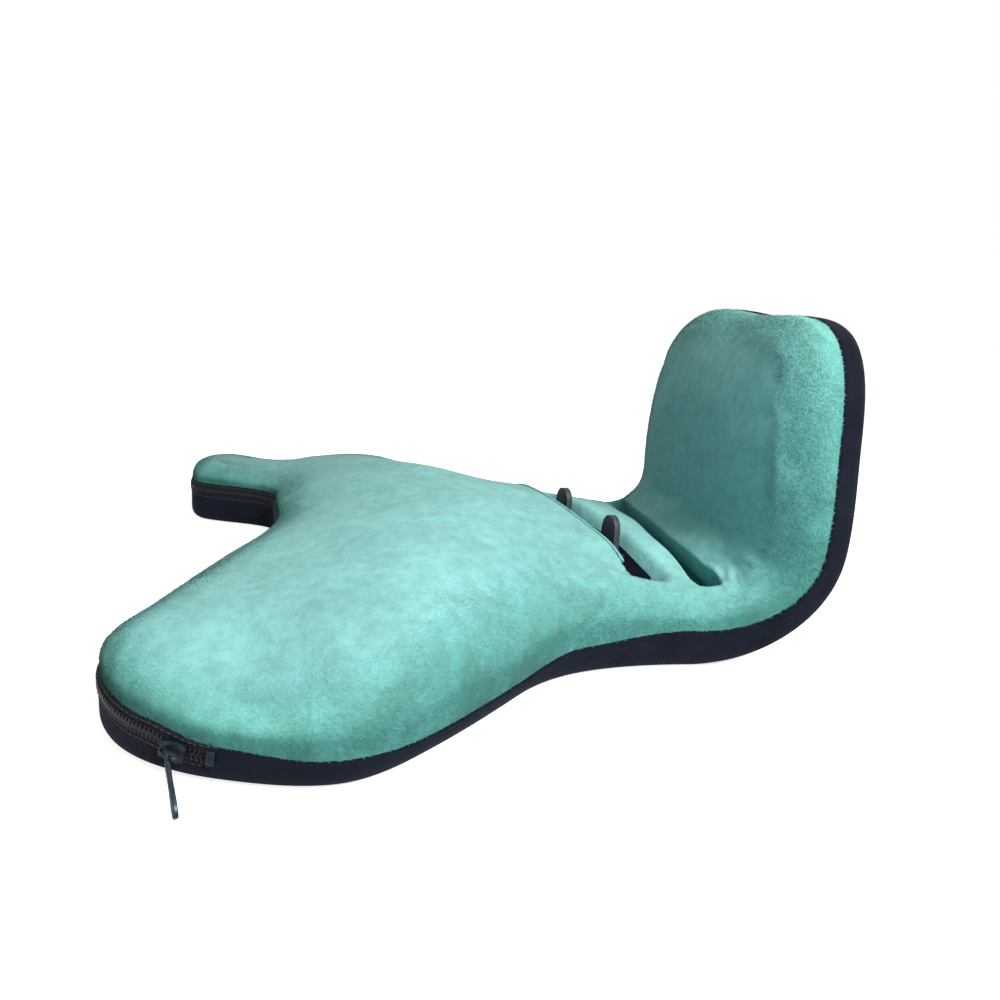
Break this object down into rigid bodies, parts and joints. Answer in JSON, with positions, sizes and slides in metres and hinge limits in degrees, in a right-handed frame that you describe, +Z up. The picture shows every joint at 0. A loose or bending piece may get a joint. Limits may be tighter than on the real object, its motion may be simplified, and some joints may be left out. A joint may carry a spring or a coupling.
{
  "type": "tablet cushion stand",
  "caption": "Padded lap cushion with two lobes, an upturned backrest, a cross slot with fingers for a tablet's edge and a coil zipper round the cut-out.",
  "frame": {"origin": "centre of the footprint's bounding box, on the floor", "axes": "+Z up, -Y towards the user, +X towards the lobe that carries the slider"},
  "size_m": [0.4042, 0.369, 0.1885],
  "materials": {
    "plush_mint": "short-pile plush",
    "knit_black": "stretch knit",
    "lining_teal": "woven lining",
    "foam_cream": "open-cell foam",
    "zip_tape_black": "woven tape",
    "zip_coil_black": "monofilament coil",
    "slider_dark_metal": "dark enamel",
    "comb_rubber_black": "matte"
  },
  "bodies": {
    "cushion": {"foam_core": "foam_cream", "plush_cover": "plush_mint", "side_band": "knit_black", "base_panel": "knit_black", "back_panel": "knit_black", "slot_lining": "knit_black", "pocket_lining": "lining_teal", "zipper_tape_upper": "zip_tape_black", "zipper_tape_lower": "zip_tape_black", "zipper_coil_upper": "zip_coil_black", "zipper_coil_lower": "zip_coil_black", "zipper_stop_far": "slider_dark_metal", "zipper_stop_near": "slider_dark_metal", "zipper_slider": "slider_dark_metal", "slot_comb": "comb_rubber_black"},
    "pull": {"zipper_pull": "slider_dark_metal"}
  },
  "joints": [
    {"name": "pull_swing", "type": "hinge", "parent": "cushion", "child": "pull", "pos_m": [0.18293, -0.14919, 0.01449], "axis": [-0.3029, 0.953, 0], "range_deg": [-124, 0]}
  ]
}
